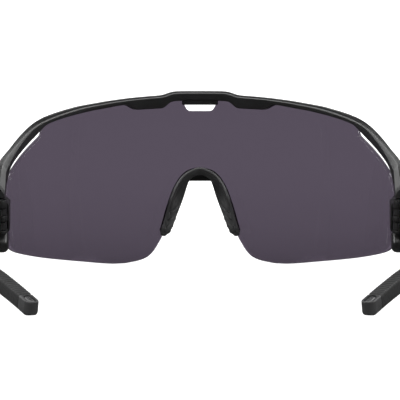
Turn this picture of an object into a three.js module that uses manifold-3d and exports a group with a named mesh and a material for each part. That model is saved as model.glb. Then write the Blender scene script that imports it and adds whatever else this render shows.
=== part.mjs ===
// Wraparound sport sunglasses: one shield lens in an open-bottomed brow frame, a rubber nose
// saddle on a carrier, and two hinged temples with serrated rubber sleeves and capped tips.
//
// Millimetres. +X is the wearer's right, +Y is forward and +Z is up. The sunglasses stand open on
// the plane z = 0, on the two lowest points of the lens and on the ends of the temples.

import * as THREE from "three";
import { mergeVertices } from "three/addons/utils/BufferGeometryUtils.js";
import Module from "manifold-3d";

const wasm = await Module();
wasm.setup();

// ---------------------------------------------------------------- driving dimensions

const GAP = 0.25; // kept between neighbouring pieces
const CUT_MARGIN = 2; // how far a cutting solid runs past what it cuts

const LENS = {
  radius: 74, // horizontal radius of the outer face
  verticalRadius: 180,
  apexY: 82, // how far forward the outer face reaches
  equatorZ: 34, // height at which the outer face is fullest
  thickness: 1.9,
  halfWidth: 87.3, // measured along the face
  restStart: 30.2, // the flat stretch of its lower edge that it stands on
  restEnd: 33.8,
  sideStart: 64, // where its top edge turns down beside the vent
};

const FRAME = {
  halfLength: 97, // brow bar from the middle to the hinge end, measured along the lens face
  front: 1.2, // how far the bar stands in front of the lens face
  back: -3.2, // its back face, behind the lens face
  slimBack: -2.2, // its back face beside the lens vents
  wingInnerX: 66.4, // flat inner side of the wing, behind the lens edge
  topDrop: 0.55, // from the ridge of the top face to the facet along its rear edge
  facet: 0.34, // height of that facet in the middle
  wingFacet: 2.6, // and at the ends
};

const VENT_BLOCK = { halfWidth: 6.6, top: 58.6, bottom: 56.4, front: 0.6, back: -2.6 };
const TAB = { start: 9.8, end: 29.4, top: 57.6, front: 0.9, back: -2.9 };
const SKIN = { start: 83.6, end: 96.2, front: 1.9 };
const LOBE = { center: [69.1, 33.4, 11.9], radii: [3.7, 5.6, 4.3] };

const HINGE = {
  x: 68.1,
  y: 28.5,
  z: 20.5,
  tilt: THREE.MathUtils.degToRad(8), // the pins lean back at the top
  lugRadius: 2.4,
  knuckleRadius: 2.3,
  slotRadius: 2.8,
  boreRadius: 0.9,
  armFront: -0.6, // front end of the temple's outer cheek, behind the pin
  bottom: -5.7, // heights along the pin, from its middle
  top: 5.8,
  slots: [[-4.7, -1.6], [0.4, 3.1]],
};

// A straight block with its upper inner corner cut off.
const BLOCK = { innerX: 65.2, outerX: 71.3, rearY: 30, frontY: 42, cornerX: 1.5, cornerZ: 2.2 };

const SCREW = { radius: 0.8, headRadius: 1.45, headHeight: 1.1, slotWidth: 0.4, slotDepth: 0.45 };

const INSERT = { innerRadius: 0.95, outerRadius: 1.5, depth: 0.7 }; // threaded, in the lowest lug

const NOSE = {
  carrierBack: -3.0,
  carrierFront: 0.9,
  carrierInside: 1.1, // web of the carrier inside the lens notch
  carrierOverlap: 1.4, // lips over the lens
  carrierCrown: 1.7, // extra depth of the web at the top of the arch
  padFront: -3.3, // front edge of the saddle, behind the lens face
  padThickness: 1.8,
};

const TEMPLE = {
  frontY: 27.7,
  sleeveFront: 0.59, // places along the temple's centre line, from 0 at the front to 1
  capFront: 0.94,
  wireRadius: 0.7,
  boreRadius: 1.15,
  pegRadius: 0.85,
  pegLength: 0.05,
};

const GRIP_TOOTH = { count: 15, height: 0.45 };
const INLAY = { length: 5.2, width: 2.1, thickness: 0.6, groove: 0.3, sink: 0.12, fromEnd: 3.95 };

// ---------------------------------------------------------------- outlines
// Each edge is given on the +X half as [distance along the lens face from the middle, height].

const LENS_LOWER_EDGE = edge([
  [0, 32.4], [4.5, 31], [8, 26.5], [10.8, 19.4], [13, 12.3], [14.4, 9.1], [15.9, 6.7], [18, 3.9],
  [20.6, 1.9], [24, 0.8], [27, 0.36], [29.2, 0.06], [30.2, -0.01], [32, -0.06], [33.8, -0.01],
  [34.8, 0.05], [37.5, 0.27], [41, 0.62], [44.5, 1.05], [56.2, 2.5], [65.9, 3.9], [76.7, 5.9],
  [83.5, 7.6], [86.4, 9.4], [LENS.halfWidth, 12],
]);

const LENS_VENT_EDGE = edge([
  [0, 54.2], [3.4, 54.2], [4.6, 54.6], [5.5, 55.8], [6.1, 57.2], [6.3, 58.4],
]);

const LENS_UPPER_EDGE = edge([
  [6.3, 58.4], [14.5, 57.9], [24, 57.5], [30.2, 57.2], [44.1, 55.1], [55.6, 53], [61, 51.6],
  [LENS.sideStart, 50.5],
]);

const LENS_SIDE_EDGE = edge([
  [LENS.sideStart, 50.5], [64.2, 48.6], [64.8, 46.9], [66.3, 45.75], [68.3, 44.4], [71.5, 42.3],
  [74.8, 40], [77.2, 38.2], [79.7, 36.25], [82.4, 33.9], [84.4, 31.8], [85.9, 29.6], [86.8, 27.6],
  [LENS.halfWidth, 25.5],
]);

const FRAME_TOP_EDGE = edge([
  [0, 61.4], [8.3, 61.35], [11.2, 60.95], [13.5, 60.2], [15.8, 59.85], [20.9, 59.5], [27, 59],
  [34.4, 58.2], [40, 57.45], [46.6, 56.55], [50.1, 55.9], [58, 54.2], [64.8, 52.3], [70, 50.1],
  [75.4, 46.85], [81.5, 42.6], [86, 39.1], [90.2, 35.5], [94, 32.5], [FRAME.halfLength, 30.2],
]);

const FRAME_LOWER_EDGE = edge([
  [0, 58.1], [10.7, 57.7], [14.5, 57.4], [24, 57], [30.2, 56.5], [36.7, 55.55], [44.1, 54.55],
  [55.6, 52.45], [61.9, 50.95], [64.2, 50], [66.2, 48.5], [68.9, 46.4], [70.4, 45.4], [74.7, 42.65],
  [79.3, 39.6], [82.6, 37.1], [84.7, 34.7], [86.6, 31], [88.4, 27.8], [90, 27.2],
  [FRAME.halfLength, 27],
]);

const SKIN_TOP_EDGE = edge([
  [SKIN.start, 22], [84.4, 27], [85.8, 31.2], [87.2, 34.4], [88.6, 34.6], [SKIN.end, 29.6],
]);

const SKIN_LOWER_EDGE = edge([
  [SKIN.start, 11], [85, 9.5], [88, 8.7], [92, 9.1], [SKIN.end, 13],
]);

// The saddle's two edges, as [x, z]: the front one beside the lens and the rear one, wider apart.
const PAD_FRONT_EDGE = new THREE.SplineCurve(vectors2([
  [0, 31], [2, 30.6], [3.6, 29.3], [4.5, 27.2], [5.4, 24.3], [6.6, 20.9], [7.9, 17.6], [9.1, 14.3],
  [10.3, 11.5], [11.5, 9.8],
]));

const PAD_REAR_EDGE = new THREE.SplineCurve(vectors2([
  [0, 34.3], [3.3, 33.3], [6.1, 31.6], [8.7, 28.3], [10.4, 24.4], [11.6, 20.6], [12.4, 17.4],
  [13.2, 14.6], [14, 12.4], [14.6, 11],
]));

// The temple's centre line, with its section's width and height at each place.
const TEMPLE_PATH = new THREE.CatmullRomCurve3([
  new THREE.Vector3(70.25, TEMPLE.frontY, 20.7),
  new THREE.Vector3(71.4, 10, 18.7),
  new THREE.Vector3(71.9, -10, 16.4),
  new THREE.Vector3(70.4, -35, 12.5),
  new THREE.Vector3(66.4, -49, 9.8),
  new THREE.Vector3(61, -60, 7.5),
  new THREE.Vector3(55.1, -71, 4.6),
  new THREE.Vector3(49.7, -82, 1.85),
]);

const TEMPLE_WIDTH = edge([[0, 5.2], [0.15, 4.4], [0.35, 3.9], [0.6, 3.9], [0.8, 4.2], [1, 4.3]]);
const TEMPLE_HEIGHT = edge([[0, 11], [0.15, 9.4], [0.35, 7.2], [0.6, 5.4], [0.8, 5], [1, 4.7]]);

// ---------------------------------------------------------------- small helpers

function vectors2(points) {
  return points.map(([x, y]) => new THREE.Vector2(x, y));
}

// A smooth function through the given points, whose first values must rise.
function edge(points) {
  const curve = new THREE.SplineCurve(vectors2(points));
  const samples = curve.getPoints(points.length * 12);
  return (at) => {
    if (at <= samples[0].x) return samples[0].y;
    const next = samples.findIndex((sample) => sample.x >= at);
    if (next < 0) return samples.at(-1).y;
    const [low, high] = [samples[next - 1], samples[next]];
    return THREE.MathUtils.mapLinear(at, low.x, high.x, low.y, high.y);
  };
}

function evenSteps(start, end, count) {
  return Array.from({ length: count + 1 }, (_, i) => start + ((end - start) * i) / count);
}

// A point on the lens's outer face moved out along its horizontal radius.
function onLens(along, height, out) {
  const sag = (height - LENS.equatorZ) ** 2 / (2 * LENS.verticalRadius);
  const reach = LENS.radius - sag + out;
  const angle = along / LENS.radius;
  const axisY = LENS.apexY - LENS.radius;
  return new THREE.Vector3(reach * Math.sin(angle), axisY + reach * Math.cos(angle), height);
}

// How far forward a face parallel to the lens's is at a given x and height.
function faceY(x, height, out) {
  const sag = (height - LENS.equatorZ) ** 2 / (2 * LENS.verticalRadius);
  const reach = LENS.radius - sag + out;
  return LENS.apexY - LENS.radius + Math.sqrt(reach * reach - x * x);
}

function lensTop(along) {
  const distance = Math.abs(along);
  if (distance < 6.3) return LENS_VENT_EDGE(distance);
  return distance < LENS.sideStart ? LENS_UPPER_EDGE(distance) : LENS_SIDE_EDGE(distance);
}

function lensBottom(along) {
  return Math.max(0, LENS_LOWER_EDGE(Math.abs(along)));
}

// ---------------------------------------------------------------- solids

function toSolid(geometry) {
  const bare = geometry.clone();
  bare.deleteAttribute("normal");
  bare.deleteAttribute("uv");
  const merged = mergeVertices(bare, 1e-4);
  const make = (triVerts) =>
    new wasm.Manifold(
      new wasm.Mesh({
        numProp: 3,
        vertProperties: new Float32Array(merged.attributes.position.array),
        triVerts,
      }),
    );
  const corners = new Uint32Array(merged.index.array);
  const solid = make(corners);
  return solid.volume() < 0 ? make(corners.reverse()) : solid;
}

function toGeometry(solid) {
  const mesh = solid.getMesh();
  const geometry = new THREE.BufferGeometry();
  geometry.setAttribute("position", new THREE.BufferAttribute(mesh.vertProperties, 3));
  geometry.setIndex(new THREE.BufferAttribute(mesh.triVerts, 1));
  geometry.computeVertexNormals();
  return geometry;
}

function join(...solids) {
  return solids.reduce((whole, solid) => whole.add(solid));
}

// A solid through closed sections, each the same number of points in the same turning order.
function loft(sections) {
  const around = sections[0].length;
  const geometry = new THREE.CylinderGeometry(1, 1, 1, around, sections.length - 1);
  const positions = geometry.attributes.position;
  const centers = sections.map((section) =>
    section.reduce((sum, point) => sum.add(point), new THREE.Vector3()).divideScalar(around),
  );
  for (let i = 0; i < positions.count; i++) {
    const [x, y, z] = [positions.getX(i), positions.getY(i), positions.getZ(i)];
    const station = Math.round((0.5 - y) * (sections.length - 1));
    const turn = Math.round((Math.atan2(x, z) / (2 * Math.PI)) * around);
    const onAxis = Math.hypot(x, z) < 0.5;
    const point = onAxis ? centers[station] : sections[station][(turn + around) % around];
    positions.setXYZ(i, point.x, point.y, point.z);
  }
  return toSolid(geometry);
}

// A sheet that follows the lens face, between two heights and two depths at each place.
function sheet({ stations, bottom, top, back, front, rows = 1 }) {
  const geometry = new THREE.BoxGeometry(1, 1, 1, stations.length - 1, rows, 1);
  const positions = geometry.attributes.position;
  for (let i = 0; i < positions.count; i++) {
    const along = stations[Math.round((positions.getX(i) + 0.5) * (stations.length - 1))];
    const height = THREE.MathUtils.lerp(bottom(along), top(along), positions.getY(i) + 0.5);
    const point = onLens(along, height, positions.getZ(i) > 0 ? front : back);
    positions.setXYZ(i, point.x, point.y, point.z);
  }
  return toSolid(geometry);
}

function box(low, high) {
  const size = high.map((value, axis) => value - low[axis]);
  const geometry = new THREE.BoxGeometry(...size);
  geometry.translate(...low.map((value, axis) => value + size[axis] / 2));
  return geometry;
}

// A cylinder along z, in the hinge's own frame.
function disc(radius, bottom, top, sides = 16) {
  const geometry = new THREE.CylinderGeometry(radius, radius, top - bottom, sides);
  geometry.rotateX(Math.PI / 2);
  geometry.translate(0, 0, (bottom + top) / 2);
  return geometry;
}

// Moves a geometry from the hinge's frame, whose z runs along the pin, to its place at +X.
function atHinge(geometry) {
  geometry.rotateX(HINGE.tilt);
  geometry.translate(HINGE.x, HINGE.y, HINGE.z);
  return toSolid(geometry);
}

// ---------------------------------------------------------------- lens

function lensStations() {
  const half = [
    ...evenSteps(0, 6.3, 7).slice(0, -1),
    ...evenSteps(6.3, 20.7, 11).slice(0, -1),
    ...evenSteps(20.7, LENS.restStart, 3).slice(0, -1),
    ...evenSteps(LENS.restStart, LENS.restEnd, 1).slice(0, -1),
    ...evenSteps(LENS.restEnd, LENS.sideStart, 8).slice(0, -1),
    ...evenSteps(LENS.sideStart, 67.3, 4).slice(0, -1),
    ...evenSteps(67.3, 82.3, 4).slice(0, -1),
    ...evenSteps(82.3, LENS.halfWidth, 4),
  ];
  return [...half.slice(1).reverse().map((along) => -along), ...half];
}

function shieldLens() {
  return sheet({
    stations: lensStations(),
    bottom: lensBottom,
    top: lensTop,
    back: -LENS.thickness,
    front: 0,
    rows: 5,
  });
}

// The lens made larger by the gap on every side, for cutting seats into its neighbours.
function lensSeat() {
  const half = lensStations().filter((along) => along >= 0);
  const stretched = half.map((along) => (along === LENS.halfWidth ? along + GAP : along));
  return sheet({
    stations: [...stretched.slice(1).reverse().map((along) => -along), ...stretched],
    bottom: (along) => lensBottom(along) - GAP - noseSeatDrop(along),
    top: (along) => lensTop(along) + GAP,
    back: -LENS.thickness - GAP,
    front: GAP,
    rows: 5,
  });
}

// The steep flanks of the nose notch need a taller vertical margin for the same gap.
function noseSeatDrop(along) {
  const distance = Math.abs(along);
  return distance > 4 && distance < 16 ? 2.2 * GAP : 0;
}

// ---------------------------------------------------------------- brow frame

// The bar's back face: slim beside the vents, and reaching to the flat inner side of the wing.
function barBack(along) {
  const distance = Math.abs(along);
  const slim = THREE.MathUtils.smoothstep(distance, 58, 72);
  const back = THREE.MathUtils.lerp(FRAME.back, FRAME.slimBack, slim);
  if (distance < 87) return back;
  const toInnerSide = FRAME.wingInnerX / Math.sin(distance / LENS.radius) - LENS.radius;
  return Math.min(back, toInnerSide);
}

// The bar's front face, which swells at the wing to be flush with its outer skin.
function barFront(along) {
  const distance = Math.abs(along);
  const onBrow = THREE.MathUtils.lerp(FRAME.front, 0.6, THREE.MathUtils.smoothstep(distance, 60, 72));
  return THREE.MathUtils.lerp(onBrow, SKIN.front, THREE.MathUtils.smoothstep(distance, 80, 88));
}

// The bar's section at one place: flat underside, front face, sloping top and a bevelled back.
function barSection(along) {
  const distance = Math.abs(along);
  const [top, bottom] = [FRAME_TOP_EDGE(distance), FRAME_LOWER_EDGE(distance)];
  const [front, back] = [barFront(along), barBack(along)];
  const depth = front - back;
  const height = top - bottom;
  const toWing = THREE.MathUtils.smoothstep(distance, 62, 92);
  const facet = THREE.MathUtils.lerp(FRAME.facet, Math.min(FRAME.wingFacet, height / 2), toWing);
  const lean = Math.min(0.75 * facet, depth / 2);
  const profile = [
    [front - 0.1 * depth, bottom],
    [front, bottom + 0.15 * height],
    [front, top - 0.25 * height],
    [front - 0.16 * depth, top],
    [back + lean + 0.25 * depth, top - 0.1],
    [back + lean, top - FRAME.topDrop],
    [back, top - FRAME.topDrop - facet],
    [back, bottom + 0.1 * height],
    [back + 0.08 * depth, bottom],
  ];
  return profile.map(([out, z]) => onLens(along, z, out));
}

function browBar() {
  const half = [
    ...evenSteps(0, 8, 3).slice(0, -1),
    ...evenSteps(8, 15.5, 5).slice(0, -1),
    ...evenSteps(15.5, 61, 10).slice(0, -1),
    ...evenSteps(61, FRAME.halfLength, 14),
  ];
  const stations = [...half.slice(1).reverse().map((along) => -along), ...half];
  return loft(stations.map(barSection));
}

// The two deeper tabs that the lens snaps behind, on either side of the middle.
function lensTab(side) {
  const lower = edge([
    [TAB.start, 57.5], [11.3, 57.1], [12.8, 56], [14.2, 55.25], [16, 55.1], [20.5, 54.92], [24, 54.8],
    [25.4, 55.12], [27, 55.95], [TAB.end, 56.5],
  ]);
  const stations = evenSteps(TAB.start, TAB.end, 12).map((along) => side * along);
  if (side < 0) stations.reverse();
  return sheet({
    stations,
    bottom: (along) => lower(Math.abs(along)),
    top: () => TAB.top,
    back: TAB.back,
    front: TAB.front,
  });
}

function ventBlock() {
  return sheet({
    stations: evenSteps(-VENT_BLOCK.halfWidth, VENT_BLOCK.halfWidth, 4),
    bottom: () => VENT_BLOCK.bottom,
    top: () => VENT_BLOCK.top,
    back: VENT_BLOCK.back,
    front: VENT_BLOCK.front,
  });
}

// The wing's outer skin, which covers the lens's edge and the hinge from in front.
function wingSkin() {
  return sheet({
    stations: evenSteps(SKIN.start, SKIN.end, 7),
    bottom: SKIN_LOWER_EDGE,
    top: SKIN_TOP_EDGE,
    back: 0.3,
    front: SKIN.front,
    rows: 4,
  });
}

// The rounded lower end of the wing, which reaches round behind the lens's edge.
function wingLobe() {
  const geometry = new THREE.SphereGeometry(1, 14, 9);
  geometry.scale(...LOBE.radii);
  geometry.translate(...LOBE.center);
  return toSolid(geometry);
}

// The space outside the wing's outer face, where nothing may stand.
function outsideWing(out) {
  return sheet({
    stations: evenSteps(78, 108, 8),
    bottom: () => -CUT_MARGIN,
    top: () => 45,
    back: out,
    front: 12,
    rows: 4,
  });
}

function mirrored(solid) {
  return solid.mirror([1, 0, 0]);
}

function browFrame() {
  const wing = join(wingSkin(), wingLobe().subtract(outsideWing(SKIN.front - 0.1)));
  const blockRoom = hingeBlockRoom();
  const templeRoom = hingeTempleRoom();
  const knuckleRoom = atHinge(disc(HINGE.knuckleRadius + GAP, HINGE.bottom, HINGE.top));
  const side = wing.subtract(blockRoom).subtract(templeRoom).subtract(knuckleRoom);
  return join(browBar(), ventBlock(), lensTab(1), lensTab(-1), side, mirrored(side))
    .subtract(templeRoom)
    .subtract(mirrored(templeRoom))
    .subtract(lensSeat());
}

// ---------------------------------------------------------------- hinge

function blockBody(grow) {
  const { outerX, rearY, frontY, cornerX, cornerZ } = BLOCK;
  const [inner, outer] = [BLOCK.innerX - grow - HINGE.x, outerX + grow - HINGE.x];
  const [bottom, top] = [HINGE.bottom - grow, HINGE.top + grow];
  const outline = new THREE.Shape(
    vectors2([
      [inner, bottom], [outer, bottom], [outer, top], [inner + cornerX, top], [inner, top - cornerZ],
    ]),
  );
  const extent = frontY - rearY + grow;
  const prism = new THREE.ExtrudeGeometry(outline, { depth: extent, bevelEnabled: false });
  prism.rotateX(Math.PI / 2);
  prism.translate(0, frontY - HINGE.y, 0);
  const body = atHinge(prism);
  const root = atHinge(
    box(
      [-HINGE.lugRadius - grow, 0, HINGE.bottom - grow],
      [HINGE.lugRadius + grow, rearY - HINGE.y + grow, HINGE.top + grow],
    ),
  );
  const lug = atHinge(disc(HINGE.lugRadius + grow, HINGE.bottom - grow, HINGE.top + grow));
  return join(body, root, lug);
}

function hingeBlockRoom() {
  return blockBody(GAP).subtract(outsideWing(0.3));
}

// Room for the temple's front end at rest and while it folds.
function hingeTempleRoom() {
  const reach = HINGE.slotRadius + 4;
  return atHinge(box([-reach, -reach - 4, HINGE.bottom], [reach, -0.3, HINGE.top + 0.3]));
}

// The block behind the lens's edge, with three lugs that take the hinge screw.
function hingeBlock() {
  const slots = HINGE.slots.map(([low, high]) =>
    join(
      atHinge(disc(HINGE.slotRadius, low, high)),
      atHinge(box([-HINGE.slotRadius, -5, low], [5, 0, high])),
      atHinge(box([-HINGE.slotRadius, 0, low], [0, 1.4, high])),
    ),
  );
  const bore = atHinge(disc(HINGE.boreRadius, HINGE.bottom - 3, HINGE.top + 3));
  const headSeat = atHinge(
    disc(SCREW.headRadius + GAP, HINGE.top - SCREW.headHeight - GAP, HINGE.top + 3),
  );
  const insertSeat = atHinge(
    disc(INSERT.outerRadius + 0.15, HINGE.bottom - 3, HINGE.bottom + INSERT.depth + 0.1),
  );
  const whole = blockBody(0).subtract(outsideWing(0)).subtract(lensSeat());
  return [...slots, bore, headSeat, insertSeat].reduce((solid, cut) => solid.subtract(cut), whole);
}

function hingeScrew() {
  const headBottom = HINGE.top - SCREW.headHeight;
  const shank = atHinge(disc(SCREW.radius, HINGE.bottom + 0.2, headBottom + 0.1));
  const head = atHinge(disc(SCREW.headRadius, headBottom, HINGE.top - 0.1));
  const halfSlot = SCREW.slotWidth / 2;
  const slot = atHinge(
    box([-3, -halfSlot, HINGE.top - 0.1 - SCREW.slotDepth], [3, halfSlot, HINGE.top + 1]),
  );
  return join(shank, head).subtract(slot);
}

function hingeInsert() {
  const { innerRadius, outerRadius, depth } = INSERT;
  const ring = new THREE.LatheGeometry(
    vectors2([
      [innerRadius, 0], [outerRadius, 0], [outerRadius, depth], [innerRadius, depth], [innerRadius, 0],
    ]),
    16,
  );
  ring.rotateX(Math.PI / 2);
  ring.translate(0, 0, HINGE.bottom);
  return atHinge(ring);
}

// ---------------------------------------------------------------- nose saddle

// The line of the lens's notch, from the foot on one side over the top to the other foot.
function notchLine(count) {
  const last = 13.6;
  return evenSteps(-1, 1, count).map((turn) => {
    const along = last * Math.sign(turn) * Math.abs(turn) ** 1.15;
    return new THREE.Vector2(along, lensBottom(along));
  });
}

function noseCarrier() {
  const line = notchLine(26);
  const sections = line.map((point, i) => {
    const before = line[Math.max(i - 1, 0)];
    const after = line[Math.min(i + 1, line.length - 1)];
    const run = after.clone().sub(before).normalize();
    const out = new THREE.Vector2(-run.y, run.x); // away from the notch, into the lens
    const crown = 1 - THREE.MathUtils.smoothstep(Math.abs(point.x), 2, 8);
    const inside = -GAP - NOSE.carrierInside - NOSE.carrierCrown * crown;
    const at = (across, depth) =>
      onLens(point.x + out.x * across, point.y + out.y * across, depth);
    return [
      at(inside, NOSE.carrierFront - 0.4),
      at(inside + 0.4, NOSE.carrierFront),
      at(NOSE.carrierOverlap, NOSE.carrierFront),
      at(NOSE.carrierOverlap, NOSE.carrierBack),
      at(inside + 0.4, NOSE.carrierBack),
      at(inside, NOSE.carrierBack + 0.4),
    ];
  });
  return loft(sections).subtract(lensSeat());
}

// The soft saddle: a bent strip that widens from the lens back towards the wearer's nose.
function nosePad() {
  const count = 28;
  const sections = evenSteps(-1, 1, count).map((turn) => {
    const [side, part] = [Math.sign(turn) || 1, Math.abs(turn)];
    const front = PAD_FRONT_EDGE.getPoint(part);
    const rear = PAD_REAR_EDGE.getPoint(part);
    const away = rear.clone().sub(front).normalize();
    const width = rear.distanceTo(front);
    const reach = THREE.MathUtils.lerp(4.6, 8, THREE.MathUtils.smoothstep(part, 0.1, 0.5));
    const depth = reach * (1 - 0.35 * THREE.MathUtils.smoothstep(part, 0.85, 1));
    const startY = faceY(front.x, front.y, NOSE.padFront);
    const at = (across, behind) =>
      new THREE.Vector3(
        side * (front.x + away.x * across),
        startY - behind - 0.06 * across * across,
        front.y + away.y * across,
      );
    return [
      at(0, 0.5),
      at(0.15, 1.3),
      at(0.42 * width, 0.62 * depth),
      at(width - 1.5, depth),
      at(width - 0.6, depth + 0.25),
      at(width, depth - 0.5),
      at(width - 0.1, depth - 1.6),
      at(NOSE.padThickness + 0.3 * width, 0.25 * depth + 0.4),
      at(NOSE.padThickness, 0.05),
      at(0.5, 0),
    ];
  });
  return loft(sections);
}

// ---------------------------------------------------------------- temples

// A rounded rectangle of points about one place on the temple's centre line.
function templeSection(place, width, height, rounding, lift = 0) {
  const center = TEMPLE_PATH.getPointAt(place);
  const run = TEMPLE_PATH.getTangentAt(place);
  const outward = new THREE.Vector3(-run.y, run.x, 0).normalize();
  const up = new THREE.Vector3().crossVectors(run, outward).normalize();
  if (up.z < 0) up.negate();
  const corners = [[1, 1], [-1, 1], [-1, -1], [1, -1]];
  return corners.flatMap(([right, top], quarter) =>
    [0, 0.5, 1].map((share) => {
      const angle = (quarter + share) * (Math.PI / 2);
      const across = right * (width / 2 - rounding) + rounding * Math.cos(angle);
      const raised = top * (height / 2 - rounding) + rounding * Math.sin(angle);
      const tooth = right > 0 && top > 0 ? lift : 0;
      return center
        .clone()
        .addScaledVector(outward, across + tooth * 0.5)
        .addScaledVector(up, raised + tooth);
    }),
  );
}

function templeTube(start, end, steps, width, height, rounding) {
  const places = evenSteps(start, end, steps);
  return loft(
    places.map((place) =>
      templeSection(place, width(place), height(place), rounding(place)),
    ),
  );
}

function roundRod(start, end, steps, radius) {
  const size = () => 2 * radius;
  return templeTube(start, end, steps, size, size, () => radius * 0.98);
}

function aboveFloor(solid) {
  return solid.subtract(toSolid(box([-90, -90, -5], [90, 90, 0])));
}

function templeArm() {
  const arm = templeTube(0, TEMPLE.sleeveFront, 14, TEMPLE_WIDTH, TEMPLE_HEIGHT, (place) =>
    THREE.MathUtils.lerp(0.9, 1.5, place / TEMPLE.sleeveFront),
  );
  const peg = roundRod(
    TEMPLE.sleeveFront - 0.01,
    TEMPLE.sleeveFront + TEMPLE.pegLength,
    3,
    TEMPLE.pegRadius,
  );
  const room = join(
    atHinge(disc(HINGE.lugRadius + 0.4, HINGE.bottom - 3, HINGE.top + 3, 24)),
    atHinge(box([-9, HINGE.armFront, HINGE.bottom - 6], [9, 9, HINGE.top + 6])),
  );
  const knuckles = HINGE.slots.map(([low, high]) =>
    join(
      atHinge(disc(HINGE.knuckleRadius, low + GAP, high - GAP)),
      atHinge(box([-0.7, -4.4, low + GAP], [HINGE.knuckleRadius - 0.1, -0.2, high - GAP])),
    ),
  );
  const bore = atHinge(disc(HINGE.boreRadius, HINGE.bottom - 3, HINGE.top + 3));
  return join(arm.subtract(room), peg, ...knuckles).subtract(bore);
}

function templeGrip() {
  const start = TEMPLE.sleeveFront + 0.003;
  const end = TEMPLE.capFront - 0.003;
  const places = evenSteps(start, end, 2 * GRIP_TOOTH.count);
  const sections = places.map((place, i) =>
    templeSection(
      place,
      TEMPLE_WIDTH(place) + 0.1,
      TEMPLE_HEIGHT(place) + 0.1,
      1.2,
      i % 2 ? GRIP_TOOTH.height : 0,
    ),
  );
  return loft(sections).subtract(roundRod(start - 0.01, end + 0.01, 8, TEMPLE.boreRadius));
}

function coreWire() {
  return roundRod(
    TEMPLE.sleeveFront + TEMPLE.pegLength + 0.003,
    TEMPLE.capFront + 0.02,
    8,
    TEMPLE.wireRadius,
  );
}

// A round-ended bar at the temple's end, standing along its up direction.
function inlayPrism(grow, bottom, top) {
  const half = INLAY.width / 2 + grow;
  const reach = INLAY.length / 2 - INLAY.width / 2;
  const outline = new THREE.Shape();
  outline.absarc(reach, 0, half, -Math.PI / 2, Math.PI / 2);
  outline.absarc(-reach, 0, half, Math.PI / 2, (3 * Math.PI) / 2);
  const geometry = new THREE.ExtrudeGeometry(outline, {
    depth: top - bottom,
    bevelEnabled: false,
    curveSegments: 8,
  });
  geometry.translate(0, 0, bottom);
  const place = 1 - INLAY.fromEnd / TEMPLE_PATH.getLength();
  const center = TEMPLE_PATH.getPointAt(place);
  const run = TEMPLE_PATH.getTangentAt(place);
  const across = new THREE.Vector3(-run.y, run.x, 0).normalize();
  const up = new THREE.Vector3().crossVectors(run, across).normalize();
  if (up.z < 0) up.negate();
  across.crossVectors(up, run);
  geometry.applyMatrix4(
    new THREE.Matrix4().makeBasis(run, across, up).setPosition(center),
  );
  return toSolid(geometry);
}

function tipCap() {
  const length = TEMPLE_PATH.getLength();
  const radius = TEMPLE_WIDTH(1) / 2 + 0.1;
  const fromEnd = [0.02, 0.25, 0.7, 1.4, radius, 4, 6];
  const places = [TEMPLE.capFront, ...fromEnd.reverse().map((distance) => 1 - distance / length)];
  const sections = places.map((place) => {
    const distance = Math.min((1 - place) * length, radius);
    const width = 2 * Math.sqrt(radius ** 2 - (radius - distance) ** 2);
    const height = TEMPLE_HEIGHT(place) + 0.2 - 0.5 * (1 - distance / radius) ** 2;
    return templeSection(place, width, height, Math.min(0.8, width * 0.35));
  });
  const top = TEMPLE_HEIGHT(1) / 2 + 0.1;
  const recess = inlayPrism(INLAY.groove, top - INLAY.thickness - INLAY.sink - 0.3, top + 2);
  const wireBore = roundRod(TEMPLE.capFront - 0.01, TEMPLE.capFront + 0.026, 2, TEMPLE.boreRadius);
  return aboveFloor(loft(sections).subtract(recess).subtract(wireBore));
}

function tipInlay() {
  const top = TEMPLE_HEIGHT(1) / 2 + 0.1 - INLAY.sink;
  return inlayPrism(0, top - INLAY.thickness, top);
}

// ---------------------------------------------------------------- assembly

function material(color, roughness, metalness = 0) {
  return new THREE.MeshStandardMaterial({ color, roughness, metalness });
}

const MATERIALS = {
  frame: material(0x1b1b1c, 0.42),
  lens: new THREE.MeshStandardMaterial({
    color: 0x39323d,
    roughness: 0.08,
    transparent: true,
    opacity: 0.85,
  }),
  block: material(0x141415, 0.55),
  rubber: material(0x222223, 0.8),
  cap: material(0x202021, 0.6),
  inlay: material(0x4a4a4c, 0.3),
  steel: material(0x9a9a9c, 0.35, 1),
  brass: material(0xb08d4a, 0.35, 1),
};

function mesh(name, solid, look, side = 1) {
  const piece = new THREE.Mesh(toGeometry(solid), look);
  piece.name = name;
  piece.scale.x = side;
  return piece;
}

const PAIRED_PIECES = [
  ["hinge_block", hingeBlock, MATERIALS.block],
  ["hinge_screw", hingeScrew, MATERIALS.steel],
  ["hinge_insert", hingeInsert, MATERIALS.brass],
  ["temple_arm", templeArm, MATERIALS.frame],
  ["temple_grip", templeGrip, MATERIALS.rubber],
  ["core_wire", coreWire, MATERIALS.steel],
  ["tip_cap", tipCap, MATERIALS.cap],
  ["tip_inlay", tipInlay, MATERIALS.inlay],
];

function sunglasses() {
  const group = new THREE.Group();
  group.add(mesh("brow_frame", browFrame(), MATERIALS.frame));
  group.add(mesh("shield_lens", shieldLens(), MATERIALS.lens));
  group.add(mesh("nose_carrier", noseCarrier(), MATERIALS.block));
  group.add(mesh("nose_pad", nosePad(), MATERIALS.rubber));
  for (const [name, build, look] of PAIRED_PIECES) {
    const solid = build();
    group.add(mesh(`${name}_right`, solid, look));
    group.add(mesh(`${name}_left`, solid, look, -1));
  }
  return group;
}

export default sunglasses();
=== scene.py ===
"""Looks for the wraparound sport sunglasses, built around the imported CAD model.

The model's frame is used as it is: metres, +X the wearer's right, +Y forward, +Z up, on the plane z = 0.
Outlines are given in millimetres along the lens's face, as in the CAD, and become metres in to_mesh().
"""

import math

import bmesh
import bpy
import numpy as np
from mathutils import Matrix, Vector


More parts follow.
